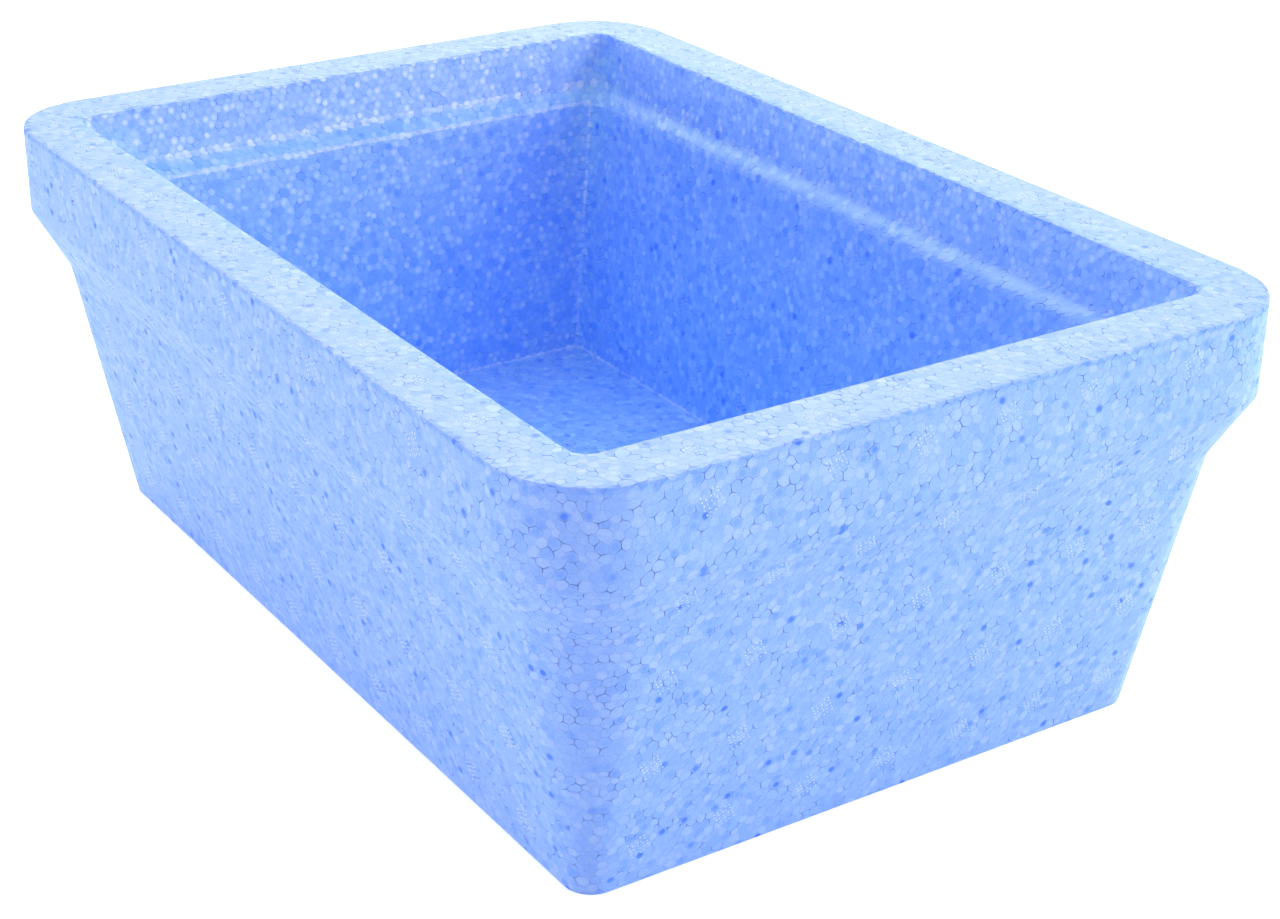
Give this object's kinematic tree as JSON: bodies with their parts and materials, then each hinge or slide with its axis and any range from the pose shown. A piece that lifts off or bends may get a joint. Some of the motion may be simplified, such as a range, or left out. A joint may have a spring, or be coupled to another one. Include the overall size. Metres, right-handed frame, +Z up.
{
  "type": "ice pan",
  "caption": "Open rectangular insulated pan moulded from foam beads, with a thick flared rim, drafted walls and an inner seat and shoulder, for holding ice and vials on a bench.",
  "frame": {"origin": "middle of the flat underside", "axes": "+X across the pan, +Y along it, +Z up out of the open mouth"},
  "size_m": [0.235, 0.336, 0.127],
  "materials": {
    "bead_foam": "moulded foam beads, light blue, matt with a faint skin sheen"
  },
  "bodies": {
    "root": {"pan_body": "bead_foam"}
  },
  "joints": []
}
